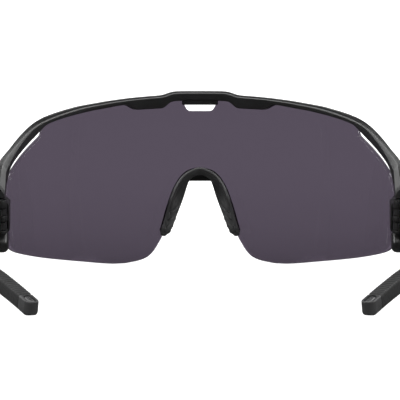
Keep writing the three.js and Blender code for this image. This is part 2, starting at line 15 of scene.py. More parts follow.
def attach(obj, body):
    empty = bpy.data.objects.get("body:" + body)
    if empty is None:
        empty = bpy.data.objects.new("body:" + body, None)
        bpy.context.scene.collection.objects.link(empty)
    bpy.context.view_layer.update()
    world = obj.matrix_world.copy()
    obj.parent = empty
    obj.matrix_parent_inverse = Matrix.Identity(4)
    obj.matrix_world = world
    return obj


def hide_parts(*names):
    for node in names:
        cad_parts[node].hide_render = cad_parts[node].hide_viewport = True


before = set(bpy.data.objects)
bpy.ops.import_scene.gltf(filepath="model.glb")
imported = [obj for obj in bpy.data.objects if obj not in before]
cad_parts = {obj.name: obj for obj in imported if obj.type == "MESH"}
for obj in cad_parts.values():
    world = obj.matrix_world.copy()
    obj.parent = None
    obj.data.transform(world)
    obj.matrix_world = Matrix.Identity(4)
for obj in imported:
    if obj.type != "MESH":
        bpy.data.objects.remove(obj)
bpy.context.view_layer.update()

MM = 0.001

# ---------------------------------------------------------------- driving dimensions, millimetres

LENS_RADIUS = 74.0
LENS_VERTICAL_RADIUS = 180.0
LENS_AXIS_Y = 8.0  # the vertical axis that the lens is swept about
LENS_EQUATOR_Z = 34.0
LENS_THICKNESS = 1.9
LENS_HALF_WIDTH = 87.3
LENS_VENT_END = 6.3  # where the vent notch in the middle ends
LENS_SIDE_START = 64.0  # where the lens's top edge turns down beside the vent
GAP = 0.25

HINGE = Vector((68.1, 28.5, 20.5))
HINGE_TILT = math.radians(8)
HINGE_BOTTOM, HINGE_TOP = -5.7, 5.8
HINGE_SLOTS = ((-4.7, -1.6), (0.4, 3.1))
LUG_RADIUS, KNUCKLE_RADIUS, SLOT_RADIUS, PIN_BORE = 2.4, 2.3, 2.8, 0.9
HEAD_ROOM_RADIUS, HEAD_ROOM_DEPTH = 1.7, 1.35  # for the screw's head, in the top lug
INSERT_ROOM_RADIUS, INSERT_ROOM_DEPTH = 1.65, 0.8  # for the insert, in the bottom lug

# The brow bar's faces are measured out from the lens's face, along the lens's radius.
BAR_HALF_LENGTH = 97.0
BAR_FRONT, BAR_SLIM_FRONT = 1.2, 0.6
BAR_BACK, BAR_SLIM_BACK = -3.2, -2.2
BAR_TOP_DROP = 0.55  # from the ridge of the top face to the facet along its rear edge
BAR_FACET, WING_FACET = 0.34, 2.6
VENT_BLOCK_HALF_WIDTH, VENT_BLOCK_BOTTOM, VENT_BLOCK_TOP = 6.6, 56.4, 58.6
VENT_BLOCK_FRONT, VENT_BLOCK_BACK = 0.6, -2.6
WING_INNER_X = 66.4
SKIN_START, SKIN_END, SKIN_FRONT = 83.6, 96.2, 1.9
LOBE_CENTER, LOBE_LEAN = (69.1, 33.4, 11.9), math.radians(62)
LOBE_RADII = (3.6, 3.8, 3.7)

BLOCK_INNER_X, BLOCK_OUTER_X = 65.2, 71.3
BLOCK_REAR_Y, BLOCK_FRONT_Y = 30, 42
BLOCK_CORNER = (1.5, 2.2)  # cut off its upper inner corner, across and down

NOTCH_REACH = 13.6  # how far down each side of the lens notch the carrier runs
CARRIER_FRONT, CARRIER_BACK = 0.9, -3.0
CARRIER_WEB, CARRIER_LIP = 1.1, 1.4
CARRIER_CROWN_Z = 28.95  # the flat top of the opening

PAD_OUT = -3.3  # the saddle's front edge, from the lens's face
RIBS_START, RIB_COUNT = 0.55, 11.0  # place along each leg, and how many ribs would fit a whole leg
RIB_HEIGHT, RIB_GROOVE = 0.6, 0.45
PAD_HOLLOW = 1.2

SLEEVE_START, CAP_START = 0.59, 0.94  # places along the temple's centre line
TOOTH_COUNT, TOOTH_HEIGHT = 25, 0.3
WIRE_ROOM, PEG_WIDTH = 2.3, 2.1
INLAY_HALF_WIDTH, INLAY_HALF_RUN = 1.05, 1.55  # its ends are round, past the straight run
INLAY_FROM_END = 3.5

# ---------------------------------------------------------------- curves


SPAN_POINTS = 24  # how many points a curve has between two given ones


def catmull(points, per_span=SPAN_POINTS):
    """Points on a smooth curve through the given ones, as the CAD's curves run."""
    p = np.asarray(points, float)
    p = np.vstack([p[:1], p, p[-1:]])
    t = np.linspace(0, 1, per_span, endpoint=False)[:, None]
    spans = []
    for a, b, c, d in zip(p, p[1:], p[2:], p[3:]):
        v0, v1 = (c - a) / 2, (d - b) / 2
        cubic = (2 * b - 2 * c + v0 + v1) * t**3 + (-3 * b + 3 * c - 2 * v0 - v1) * t**2
        spans.append(cubic + v0 * t + b)
    return np.vstack([*spans, p[-1:]])


def edge(*points):
    """A smooth function through points whose first values rise."""
    curve = catmull(points)
    order = np.maximum.accumulate(curve[:, 0])
    return lambda at: np.interp(at, order, curve[:, 1])


def smoothstep(x, low, high):
    t = np.clip((np.asarray(x, float) - low) / (high - low), 0, 1)
    return t * t * (3 - 2 * t)


def mix(a, b, share):
    return a + (b - a) * share


LENS_LOWER = edge(
    (0, 32.4), (4.5, 31), (8, 26.5), (10.8, 19.4), (13, 12.3), (14.4, 9.1), (15.9, 6.7), (18, 3.9),
    (20.6, 1.9), (24, 0.8), (27, 0.36), (29.2, 0.06), (30.2, -0.01), (32, -0.06),
    (33.8, -0.01), (34.8, 0.05), (37.5, 0.27), (41, 0.62), (44.5, 1.05), (56.2, 2.5), (65.9, 3.9),
    (76.7, 5.9), (83.5, 7.6), (86.4, 9.4), (LENS_HALF_WIDTH, 12),
)
LENS_VENT = edge(
    (0, 54.2), (3.4, 54.2), (4.6, 54.6), (5.5, 55.8), (6.1, 57.2),
    (LENS_VENT_END, 58.4),
)
LENS_UPPER = edge(
    (LENS_VENT_END, 58.4), (14.5, 57.9), (24, 57.5), (30.2, 57.2), (44.1, 55.1), (55.6, 53), (61, 51.6),
    (LENS_SIDE_START, 50.5),
)
LENS_SIDE = edge(
    (LENS_SIDE_START, 50.5), (64.2, 48.6), (64.8, 46.9), (66.3, 45.75), (68.3, 44.4), (71.5, 42.3),
    (74.8, 40), (77.2, 38.2), (79.7, 36.25), (82.4, 33.9), (84.4, 31.8), (85.9, 29.6), (86.8, 27.6),
    (LENS_HALF_WIDTH, 25.5),
)
FRAME_TOP = edge(
    (0, 61.4), (8.3, 61.35), (11.2, 60.95), (13.5, 60.2), (15.8, 59.85), (20.9, 59.5), (27, 59),
    (34.4, 58.2), (40, 57.45), (46.6, 56.55), (50.1, 55.9), (58, 54.2), (64.8, 52.3), (70, 50.1),
    (75.4, 46.85), (81.5, 42.6), (86, 39.1), (90.2, 35.5), (94, 32.5), (BAR_HALF_LENGTH, 30.2),
)
FRAME_LOWER = edge(
    (0, 58.1), (10.7, 57.7), (14.5, 57.4), (24, 57), (30.2, 56.5), (36.7, 55.55), (44.1, 54.55),
    (55.6, 52.45), (61.9, 50.95), (64.2, 50), (66.2, 48.5), (68.9, 46.4), (70.4, 45.4), (74.7, 42.65),
    (79.3, 39.6), (82.6, 37.1), (84.7, 34.7), (86.6, 31), (88.4, 27.8), (90, 27.2),
    (BAR_HALF_LENGTH, 27),
)
TAB_START, TAB_END = 9.2, 30.0
TAB_LOWER = edge(
    (TAB_START, 57.75), (10.2, 57.65), (11.3, 57.3), (12.1, 56.7), (12.8, 56.15), (13.6, 55.55),
    (14.4, 55.25), (15.6, 55.12), (20.5, 54.92), (23.7, 54.8), (24.6, 54.87), (25.4, 55.12),
    (26.2, 55.5), (27, 55.95), (28, 56.35), (28.8, 56.5), (TAB_END, 56.6),
)
SKIN_TOP = edge(
    (SKIN_START, 22), (84.4, 27), (85.8, 31.2), (87.2, 34.4), (88.6, 34.6), (SKIN_END, 29.6)
)
SKIN_LOWER = edge((SKIN_START, 11), (85, 9.5), (88, 8.7), (92, 9.1), (SKIN_END, 13))


def half_arch(points):
    """A curve down from the middle of an arch, level where it starts."""
    beyond = (-points[1][0], points[1][1])
    return catmull([beyond, *points])[SPAN_POINTS:]


PAD_FRONT = half_arch([
    (0, 31), (2, 30.6), (3.6, 29.3), (4.5, 27.2), (5.4, 24.3), (6.6, 20.9), (7.9, 17.6), (9.1, 14.3),
    (10.3, 11.5), (11.5, 9.8),
])
PAD_REAR = half_arch([
    (0, 34.3), (3.3, 33.3), (6.1, 31.6), (8.7, 28.3), (10.4, 24.4), (11.6, 20.6), (12.4, 17.4),
    (13.2, 14.6), (14, 12.4), (14.6, 11),
])

TEMPLE_LINE = catmull(
    [
        (70.25, 27.7, 20.7), (71.4, 10, 18.7), (71.9, -10, 16.4), (70.4, -35, 12.5),
        (66.4, -49, 9.8), (61, -60, 7.5), (55.1, -71, 4.6), (49.7, -82, 1.85),
    ],
    60,
)
TEMPLE_WIDTH = edge((0, 5.2), (0.15, 4.4), (0.35, 3.9), (0.6, 3.9), (0.8, 4.2), (1, 4.3))
TEMPLE_HEIGHT = edge((0, 11), (0.15, 9.4), (0.35, 7.2), (0.6, 5.4), (0.8, 5), (1, 4.7))
TEMPLE_REACH = np.concatenate(
    [[0], np.cumsum(np.linalg.norm(np.diff(TEMPLE_LINE, axis=0), axis=1))]
)
TEMPLE_LENGTH = TEMPLE_REACH[-1]


def along_curve(curve, share):
    """The point at a share of a sampled curve's parameter, from 0 to 1."""
    at = np.clip(share, 0, 1) * (len(curve) - 1)
    return np.array([np.interp(at, np.arange(len(curve)), curve[:, k]) for k in range(curve.shape[1])])


def temple_point(place):
    reach = np.clip(place, 0, 1) * TEMPLE_LENGTH
    return np.array([np.interp(reach, TEMPLE_REACH, TEMPLE_LINE[:, k]) for k in range(3)])


def temple_axes(place):
    """The centre line's direction, and the outward and upward ones square to it."""
    step = 0.004
    run = temple_point(min(place + step, 1)) - temple_point(max(place - step, 0))
    run /= np.linalg.norm(run)
    out = np.array([-run[1], run[0], 0.0])
    out /= np.linalg.norm(out)
    up = np.cross(run, out)
    up *= np.sign(up[2]) / np.linalg.norm(up)
    return run, out, up


def on_lens(along, height, out):
    """A point on the lens's outer face moved out along its horizontal radius."""
    reach = LENS_RADIUS - (height - LENS_EQUATOR_Z) ** 2 / (2 * LENS_VERTICAL_RADIUS) + out
    angle = along / LENS_RADIUS
    return (reach * math.sin(angle), LENS_AXIS_Y + reach * math.cos(angle), height)


def face_y(x, height, out):
    reach = LENS_RADIUS - (height - LENS_EQUATOR_Z) ** 2 / (2 * LENS_VERTICAL_RADIUS) + out
    return LENS_AXIS_Y + math.sqrt(reach * reach - x * x)


def lens_top(along):
    distance = abs(along)
    if distance < LENS_VENT_END:
        return float(LENS_VENT(distance))
    return float(LENS_UPPER(distance) if distance < LENS_SIDE_START else LENS_SIDE(distance))


def lens_bottom(along):
    return max(0.0, float(LENS_LOWER(abs(along))))


# ---------------------------------------------------------------- mesh building


def to_mesh(name, vertices, faces, sharp=35):
    """An object from points in millimetres, with smooth shading broken at sharp edges."""
    mesh = bpy.data.meshes.new(name)
    mesh.from_pydata([tuple(c * MM for c in v) for v in vertices], [], faces)
    made = bmesh.new()
    made.from_mesh(mesh)
    bmesh.ops.remove_doubles(made, verts=made.verts, dist=1e-7)
    bmesh.ops.recalc_face_normals(made, faces=made.faces)
    made.to_mesh(mesh)
    made.free()
    shade(mesh, sharp)
    piece = bpy.data.objects.new(name, mesh)
    bpy.context.scene.collection.objects.link(piece)
    return piece


def shade(mesh, sharp=35):
    mesh.polygons.foreach_set("use_smooth", [True] * len(mesh.polygons))
    mesh.set_sharp_from_angle(angle=math.radians(sharp))


def loft(name, rings, sharp=35):
    """A closed solid through rings of the same number of points."""
    around = len(rings[0])
    vertices = [tuple(p) for ring in rings for p in ring]
    faces = []
    for i in range(len(rings) - 1):
        for j in range(around):
            k = (j + 1) % around
            faces.append((i * around + j, i * around + k, (i + 1) * around + k, (i + 1) * around + j))
    faces.append(tuple(range(around))[::-1])
    faces.append(tuple((len(rings) - 1) * around + j for j in range(around)))
    return to_mesh(name, vertices, faces, sharp)


def soften(corners, radius, steps=3):
    """A closed outline with each corner rounded by a short curve. radius is one number or a list."""
    corners = [np.asarray(c, float) for c in corners]
    radii = radius if isinstance(radius, (list, tuple)) else [radius] * len(corners)
    outline = []
    for i, corner in enumerate(corners):
        before, after = corners[i - 1], corners[(i + 1) % len(corners)]
        back, ahead = before - corner, after - corner
        reach = min(radii[i], 0.48 * np.linalg.norm(back), 0.48 * np.linalg.norm(ahead))
        start = corner + back / max(np.linalg.norm(back), 1e-9) * reach
        end = corner + ahead / max(np.linalg.norm(ahead), 1e-9) * reach
        for t in np.linspace(0, 1, steps + 1):
            outline.append((1 - t) ** 2 * start + 2 * t * (1 - t) * corner + t * t * end)
    return outline


def sheet(name, stations, rows, bottom, top, back, front, sharp=35):
    """A curved plate that follows the lens's face."""
    rings = []
    for along in stations:
        heights = np.linspace(bottom(along), top(along), rows + 1)
        ring = [on_lens(along, z, front) for z in heights]
        ring += [on_lens(along, z, back) for z in heights[::-1]]
        rings.append(ring)
    vertices = [p for ring in rings for p in ring]
    n = len(rings[0])
    faces = []
    for i in range(len(rings) - 1):
        for j in range(n):
            k = (j + 1) % n
            faces.append((i * n + j, i * n + k, (i + 1) * n + k, (i + 1) * n + j))
    for i in (0, len(rings) - 1):
        for j in range(rows):
            faces.append((i * n + j, i * n + j + 1, i * n + n - 2 - j, i * n + n - 1 - j))
    return to_mesh(name, vertices, faces, sharp)


def both_sides(half):
    return [-x for x in reversed(half[1:])] + list(half)


def steps(*parts):
    """Rising stations from (start, end, count) stretches that meet."""
    runs = [np.linspace(a, b, n, endpoint=False) for a, b, n in parts]
    return list(np.concatenate([*runs, [parts[-1][1]]]))


def box_mesh(name, low, high):
    corners = [(x, y, z) for x in (low[0], high[0]) for y in (low[1], high[1]) for z in (low[2], high[2])]
    faces = [(0, 1, 3, 2), (4, 6, 7, 5), (0, 4, 5, 1), (2, 3, 7, 6), (0, 2, 6, 4), (1, 5, 7, 3)]
    return to_mesh(name, corners, faces)


def disc_mesh(name, radius, bottom, top, sides=48):
    angles = np.linspace(0, 2 * math.pi, sides, endpoint=False)
    ring = [(radius * math.cos(a), radius * math.sin(a)) for a in angles]
    return loft(name, [[(x, y, z) for x, y in ring] for z in (bottom, top)])


def at_hinge(piece):
    """Moves a piece from the hinge's own frame, whose z runs along the pin, to its place."""
    place = Matrix.Translation(HINGE * MM) @ Matrix.Rotation(HINGE_TILT, 4, "X")
    piece.data.transform(place)
    return piece


def apply_modifiers(piece):
    graph = bpy.context.evaluated_depsgraph_get()
    mesh = bpy.data.meshes.new_from_object(piece.evaluated_get(graph))
    piece.modifiers.clear()
    old, piece.data = piece.data, mesh
    bpy.data.meshes.remove(old)


def combine(piece, others, operation):
    for other in others:
        modifier = piece.modifiers.new(operation, "BOOLEAN")
        modifier.operation = operation
        modifier.object = other
        modifier.solver = "MANIFOLD"
    apply_modifiers(piece)
    for other in others:
        bpy.data.objects.remove(other)
    return piece


def tidy(piece, sharp=35):
    made = bmesh.new()
    made.from_mesh(piece.data)
    bmesh.ops.remove_doubles(made, verts=made.verts, dist=2e-6)
    bmesh.ops.dissolve_degenerate(made, dist=1e-6, edges=made.edges)
    made.to_mesh(piece.data)
    made.free()
    shade(piece.data, sharp)
    return piece


def rounded(piece, width, segments=2, angle=40, sharp=35):
    """Rounds the sharp edges by a bevel of that width in millimetres."""
    modifier = piece.modifiers.new("Bevel", "BEVEL")
    modifier.width = width * MM
    modifier.segments = segments
    modifier.limit_method = "ANGLE"
    modifier.angle_limit = math.radians(angle)
    modifier.use_clamp_overlap = True
    apply_modifiers(piece)
    shade(piece.data, sharp)
    return piece


def copy_of(piece, name):
    made = bpy.data.objects.new(name, piece.data.copy())
    bpy.context.scene.collection.objects.link(made)
    return made


def mirror_copy(piece, name):
    made = copy_of(piece, name)
    made.data.transform(Matrix.Scale(-1, 4, (1, 0, 0)))
    made.data.flip_normals()
    return made


# ---------------------------------------------------------------- lens


def lens_stations():
    return both_sides(
        steps(
            (0, 3, 6), (3, LENS_VENT_END, 16), (LENS_VENT_END, 20.7, 40), (20.7, LENS_SIDE_START, 40),
            (LENS_SIDE_START, 67.3, 14), (67.3, 82.3, 20), (82.3, LENS_HALF_WIDTH, 20),
        )
    )


def build_lens():
    lens = sheet(
        "shield_lens_fine", lens_stations(), 22, lens_bottom, lens_top, -LENS_THICKNESS, 0, sharp=50
    )
    return rounded(lens, 0.22, segments=2, angle=60, sharp=50)


def lens_seat(name):
    def stretched(along):
        return along + math.copysign(GAP, along) if abs(along) == LENS_HALF_WIDTH else along

    return sheet(
        name,
        [stretched(along) for along in lens_stations()],
        10,
        lambda along: lens_bottom(along) - GAP - (0.55 if 4 < abs(along) < 16 else 0),
        lambda along: lens_top(along) + GAP,
        -LENS_THICKNESS - GAP,
        GAP,
    )


# ---------------------------------------------------------------- brow frame


def bar_back(distance):
    back = mix(BAR_BACK, BAR_SLIM_BACK, smoothstep(distance, 58, 72))
    if distance < 87:
        return float(back)
    return float(min(back, WING_INNER_X / math.sin(distance / LENS_RADIUS) - LENS_RADIUS))


def bar_front(distance):
    front = mix(BAR_FRONT, BAR_SLIM_FRONT, smoothstep(distance, 60, 72))
    return float(mix(front, SKIN_FRONT, smoothstep(distance, 80, 88)))


def bar_bottom(distance):
    lower = float(FRAME_LOWER(distance))
    if TAB_START < distance < TAB_END:
        return min(lower, float(TAB_LOWER(distance)))
    return lower


def bar_ring(along):
    """One section of the brow bar, with the tab's lower edge where there is one."""
    distance = abs(along)
    top, bottom, brow_bottom = float(FRAME_TOP(distance)), bar_bottom(distance), float(FRAME_LOWER(distance))
    front, back = bar_front(distance), bar_back(distance)
    depth, height = front - back, top - brow_bottom
    facet = mix(BAR_FACET, min(WING_FACET, 0.5 * height), smoothstep(distance, 66, 98))
    lean = min(0.75 * facet, 0.5 * depth)
    corners = [
        (front - 0.1 * depth, bottom),
        (front, bottom + 0.15 * height),
        (front, top - 0.25 * height),
        (front - 0.16 * depth, top),
        (back + lean + 0.25 * depth, top - 0.1),
        (back + lean, top - BAR_TOP_DROP),
        (back, top - BAR_TOP_DROP - facet),
        (back, bottom + 0.1 * height),
        (back + 0.08 * depth, bottom),
    ]
    outline = soften(corners, [0.3, 0.3, 0.4, 0.4, 0.4, 0.1, 0.1, 0.2, 0.2])
    return [on_lens(along, z, out) for out, z in outline]


def outside_wing(name, out):
    """A thick shell round the wing, starting that far out from the lens's face."""
    return sheet(
        name, list(np.linspace(78, 108, 40)), 12, lambda a: -2, lambda a: 45, out, 12
    )


def hinge_block_room(name, grow):
    """The hinge block's outer form, grown by a gap."""
    x, y = HINGE.x, HINGE.y
    low, high = HINGE_BOTTOM - grow, HINGE_TOP + grow
    inner, outer = BLOCK_INNER_X - grow - x, BLOCK_OUTER_X + grow - x
    cut_x, cut_z = BLOCK_CORNER
    section = [(inner, low), (outer, low), (outer, high), (inner + cut_x, high), (inner, high - cut_z)]
    ends = (BLOCK_REAR_Y - grow - y, BLOCK_FRONT_Y - y)
    body = at_hinge(loft(name, [[(across, end, up) for across, up in section] for end in ends], sharp=20))
    root = at_hinge(box_mesh("root", (-LUG_RADIUS - grow, 0, low), (LUG_RADIUS + grow, 1.5 + grow, high)))
    lug = at_hinge(disc_mesh("lug", LUG_RADIUS + grow, low, high))
    return combine(body, [root, lug], "UNION")


def temple_room():
    """The space that the temple's front end turns in."""
    return at_hinge(box_mesh("temple_room", (-6.8, -10.8, HINGE_BOTTOM), (6.8, -0.3, HINGE_TOP + 0.3)))


def squared(value):
    """Pushes a sine or cosine outwards, which turns a ball into a rounded box."""
    return math.copysign(abs(value) ** 0.5, value)


def lobe():
    """The wing's rounded lower end, a rounded box whose flattest face looks back and a little up."""
    place = Matrix.Translation(Vector(LOBE_CENTER)) @ Matrix.Rotation(LOBE_LEAN, 4, "X")
    wide, long, tall = LOBE_RADII
    rings = []
    for rise in np.linspace(-0.49 * math.pi, 0.49 * math.pi, 32):
        level, reach = squared(math.sin(rise)), squared(math.cos(rise))
        ring = []
        for turn in np.linspace(0, 2 * math.pi, 48, endpoint=False):
            across, along = squared(math.cos(turn)), squared(math.sin(turn))
            ring.append(tuple(place @ Vector((wide * reach * across, long * reach * along, tall * level))))
        rings.append(ring)
    return combine(loft("lobe", rings, sharp=60), [outside_wing("outside", SKIN_FRONT - 0.1)], "DIFFERENCE")


def wing_side():
    """The wing's outer skin and rounded lower end, on the +X side."""
    skin = sheet(
        "skin", list(np.linspace(SKIN_START, SKIN_END, 28)), 24,
        lambda a: float(SKIN_LOWER(a)), lambda a: float(SKIN_TOP(a)), 0.3, SKIN_FRONT,
    )
    rounded(skin, 0.35, segments=3, angle=50)
    combine(skin, [lobe()], "UNION")
    block = combine(hinge_block_room("block_room", GAP), [outside_wing("outside", 0.3)], "DIFFERENCE")
    knuckles = at_hinge(disc_mesh("knuckle_room", KNUCKLE_RADIUS + GAP, HINGE_BOTTOM, HINGE_TOP))
    return combine(skin, [block, knuckles], "DIFFERENCE")


def build_brow():
    stations = both_sides(
        steps((0, 8, 10), (8, 30, 60), (30, 61, 24), (61, 83, 30), (83, BAR_HALF_LENGTH, 26))
    )
    brow = loft("brow_frame_fine", [bar_ring(along) for along in stations], sharp=32)
    block = sheet(
        "vent_block",
        list(np.linspace(-VENT_BLOCK_HALF_WIDTH, VENT_BLOCK_HALF_WIDTH, 13)),
        2,
        lambda along: VENT_BLOCK_BOTTOM,
        lambda along: VENT_BLOCK_TOP,
        VENT_BLOCK_BACK,
        VENT_BLOCK_FRONT,
    )
    rounded(block, 0.25, segments=2)
    side = wing_side()
    other = mirror_copy(side, "other_wing")
    combine(brow, [block, side, other], "UNION")
    rooms = [temple_room()]
    rooms.append(mirror_copy(rooms[0], "other_room"))
    combine(brow, [*rooms, lens_seat("seat")], "DIFFERENCE")
    return tidy(brow, 32)


# ---------------------------------------------------------------- nose saddle


def notch_line(count):
    """Points along the lens notch, closer together at its crown."""
    points = []
    for turn in np.linspace(-1, 1, count):
        distance = NOTCH_REACH * abs(turn) ** 1.15
        points.append(np.array((distance * np.sign(turn), lens_bottom(distance))))
    return points


def build_carrier():
    """The channel that grips the lens notch, its web filled in to a flat top over the nose."""
    line = notch_line(121)
    rings = []
    for i, point in enumerate(line):
        run = line[min(i + 5, len(line) - 1)] - line[max(i - 5, 0)]
        run /= np.linalg.norm(run)
        out = np.array((-run[1], run[0]))
        inside = -max(GAP + CARRIER_WEB, (point[1] - CARRIER_CROWN_Z) / max(out[1], 0.3))
        lip, back, front = CARRIER_LIP, CARRIER_BACK, CARRIER_FRONT
        seat_back, seat_front = -LENS_THICKNESS - GAP, GAP
        section = soften(
            [
                (inside, front - 0.5), (inside + 0.5, front), (lip, front), (lip, seat_front),
                (-GAP, seat_front), (-GAP, seat_back), (lip, seat_back), (lip, back),
                (inside + 0.5, back), (inside, back + 0.5),
            ],
            [0.4, 0.4, 0.15, 0.15, 0.05, 0.05, 0.15, 0.15, 0.4, 0.4],
            steps=2,
        )
        rings.append([on_lens(*(point + out * across), depth) for across, depth in section])
    return loft("nose_carrier_fine", rings, sharp=40)


def pad_relief(part, across):
    """How far the saddle's face is raised: a hollow down each leg, and stepped ribs below it.

    part runs down the leg, and across runs from its front edge to its rear one, both from 0 to 1.
    """
    ribs_start = RIBS_START + 0.08 * math.sin(math.pi / 2 * across)
    ribbed = smoothstep(part, ribs_start - 0.006, ribs_start) * (1 - smoothstep(part, 0.94, 0.97))
    inside = smoothstep(across, 0, 0.15) * (1 - smoothstep(across, 0.93, 1))
    along_rib = (RIB_COUNT * (part - ribs_start)) % 1
    groove = math.exp(-((along_rib / 0.09) ** 2)) + math.exp(-(((1 - along_rib) / 0.05) ** 2))
    ribs = float(ribbed * inside) * (RIB_HEIGHT * along_rib - RIB_GROOVE * groove)
    hollow = smoothstep(part, 0.16, 0.42) * (1 - smoothstep(part, ribs_start - 0.16, ribs_start))
    return ribs - PAD_HOLLOW * float(hollow) * math.sin(math.pi * across)


def pad_ring(turn):
    """One section of the rubber saddle: its face on the nose, its rear lip and its outer side."""
    side, part = (-1 if turn < 0 else 1), abs(turn)
    front, rear = along_curve(PAD_FRONT, part), along_curve(PAD_REAR, part)
    width = np.linalg.norm(rear - front)
    away = (rear - front) / width
    reach = mix(4.6, 8, smoothstep(part, 0.1, 0.5))
    toe = float(smoothstep(part, 0.93, 1))
    depth = float(reach * (1 - 0.35 * smoothstep(part, 0.85, 1)))
    start_y = face_y(front[0], front[1], PAD_OUT)
    curl = float(smoothstep(part, 0.1, 0.4))
    section = []
    for u in np.linspace(0, 1, 29):
        raised = pad_relief(part, u)
        rise = mix(u**0.92, 1 - (1 - u) ** 2, 0.8 * curl)
        steep = (depth - 0.5) * mix(0.92, 2 * (1 - u), 0.8 * curl)
        slope = math.hypot(steep, width - 1.3)
        section.append((
            0.1 + (width - 1.3) * u - raised * steep / slope,
            0.5 + (depth - 0.5) * rise + raised * (width - 1.3) / slope,
        ))
    section += [
        (width - 0.75, depth + 0.28), (width - 0.3, depth + 0.15), (width - 0.05, depth - 0.25),
        (width, depth - 0.8), (width - 0.1, depth - 1.6), (1.6 + 0.35 * width, 0.45 * depth + 0.3),
        (1.7 + 0.2 * width, 0.2 * depth), (1.9, 0.25), (1.7, 0.05), (1.0, 0.0), (0.5, 0.0), (0.15, 0.2),
    ]
    center = np.mean(section, axis=0)
    shrink = 1 - 0.28 * toe**2
    return [
        (
            side * (front[0] + away[0] * a),
            start_y - b - 0.06 * a * a,
            front[1] + away[1] * a,
        )
        for a, b in (center + (np.array(p) - center) * shrink for p in section)
    ]


def foot(last, before):
    """Smaller and smaller sections that round off a leg past its last one."""
    last = np.array(last)
    middle = last.mean(0)
    drop = middle - np.array(before).mean(0)
    drop /= np.linalg.norm(drop)
    return [
        [tuple(point) for point in middle + (last - middle) * shrink + drop * grow]
        for grow, shrink in ((0.35, 0.93), (0.55, 0.8), (0.68, 0.55))
    ]


def build_pad():
    leg = np.concatenate([np.linspace(0.006, RIBS_START, 60)[:-1], np.linspace(RIBS_START, 1, 190)])
    turns = np.concatenate([-leg[::-1], [0], leg])
    rings = [pad_ring(t) for t in turns]
    rings = [*foot(rings[0], rings[1])[::-1], *rings, *foot(rings[-1], rings[-2])]
    return loft("nose_pad_fine", rings, sharp=60)


# ---------------------------------------------------------------- temples


def temple_ring(place, width, height, radius, lift=None, taper=0.0):
    """A rounded section square to the temple's centre line, narrower at the bottom by taper."""
    center = temple_point(place)
    _, out, up = temple_axes(place)
    w, h = width / 2, height / 2
    corners = [(w, h), (-w, h), (-w + taper, -h), (w - taper, -h)]
    outline = soften(corners, radius, steps=6)
    ring = []
    for across, raised in outline:
        if lift is not None:
            raised += lift(across / w, raised / h)
        ring.append(tuple(center + out * across + up * raised))
    return ring


def build_arm():
    """The stiff arm, cut away round the hinge, with two knuckles and a peg into the sleeve."""
    places = steps((0, 0.02, 4), (0.02, SLEEVE_START - 0.01, 70), (SLEEVE_START - 0.01, SLEEVE_START, 4))
    rings = []
    for place in places:
        radius = mix(0.9, 1.6, place / SLEEVE_START)
        end = 1 - 0.06 * float(smoothstep(place, SLEEVE_START - 0.004, SLEEVE_START))
        rings.append(
            temple_ring(place, float(TEMPLE_WIDTH(place)) * end, float(TEMPLE_HEIGHT(place)) * end, radius)
        )
    arm = loft("temple_arm_right_fine", rings, sharp=40)
    room = at_hinge(disc_mesh("room", LUG_RADIUS + 0.4, HINGE_BOTTOM - 3, HINGE_TOP + 3, 64))
    front = at_hinge(box_mesh("front", (-9, -0.6, HINGE_BOTTOM - 6), (9, 9, HINGE_TOP + 6)))
    combine(arm, [room, front], "DIFFERENCE")
    for low, high in HINGE_SLOTS:
        knuckle = at_hinge(disc_mesh("knuckle", KNUCKLE_RADIUS, low + GAP, high - GAP))
        neck = at_hinge(box_mesh("neck", (-0.7, -4.4, low + GAP), (KNUCKLE_RADIUS - 0.1, -0.2, high - GAP)))
        combine(arm, [knuckle, neck], "UNION")
    combine(arm, [at_hinge(disc_mesh("bore", PIN_BORE, HINGE_BOTTOM - 3, HINGE_TOP + 3))], "DIFFERENCE")
    peg_places = steps((SLEEVE_START - 0.01, SLEEVE_START + 0.05, 6))
    peg = loft("peg", [temple_ring(place, PEG_WIDTH, PEG_WIDTH, 1.0) for place in peg_places])
    combine(arm, [peg], "UNION")
    return tidy(arm, 40)


def wire_bore(places):
    """The room for the core wire along the temple's centre line."""
    return loft("bore", [temple_ring(place, WIRE_ROOM, WIRE_ROOM, 1.1) for place in places])


def build_grip():
    """The rubber sleeve, with a row of low teeth along its upper edge, highest on the inside."""
    start, end = SLEEVE_START + 0.001, CAP_START - 0.001
    rings = []
    for share in np.linspace(0, 1, TOOTH_COUNT * 14 + 1):
        place = mix(start, end, share)
        phase = (share * TOOTH_COUNT) % 1
        tooth = TOOTH_HEIGHT * (smoothstep(phase, 0, 0.18) - smoothstep(phase, 0.5, 0.85))
        ends = 1 - 0.06 * (1 - smoothstep(min(share, 1 - share), 0, 0.008))

        def lift(across, raised, tooth=float(tooth)):
            outward = float(smoothstep(across, -0.9, 0.8))
            return tooth * float(smoothstep(raised, 0.55, 0.95)) * mix(1, 0.3, outward)

        width = (float(TEMPLE_WIDTH(place)) + 0.1) * float(ends)
        height = (float(TEMPLE_HEIGHT(place)) + 0.1) * float(ends)
        rings.append(temple_ring(place, width, height, 0.95, lift, taper=0.15))
    grip = loft("temple_grip_right_fine", rings, sharp=50)
    bore = wire_bore(steps((start - 0.01, end + 0.01, 40)))
    return tidy(combine(grip, [bore], "DIFFERENCE"), 50)


def inlay_outline(grow):
    half, reach = INLAY_HALF_WIDTH + grow, INLAY_HALF_RUN
    turns = np.linspace(-math.pi / 2, math.pi / 2, 17)
    right = [(reach + half * math.cos(turn), half * math.sin(turn)) for turn in turns]
    return right + [(-across, -up) for across, up in right]


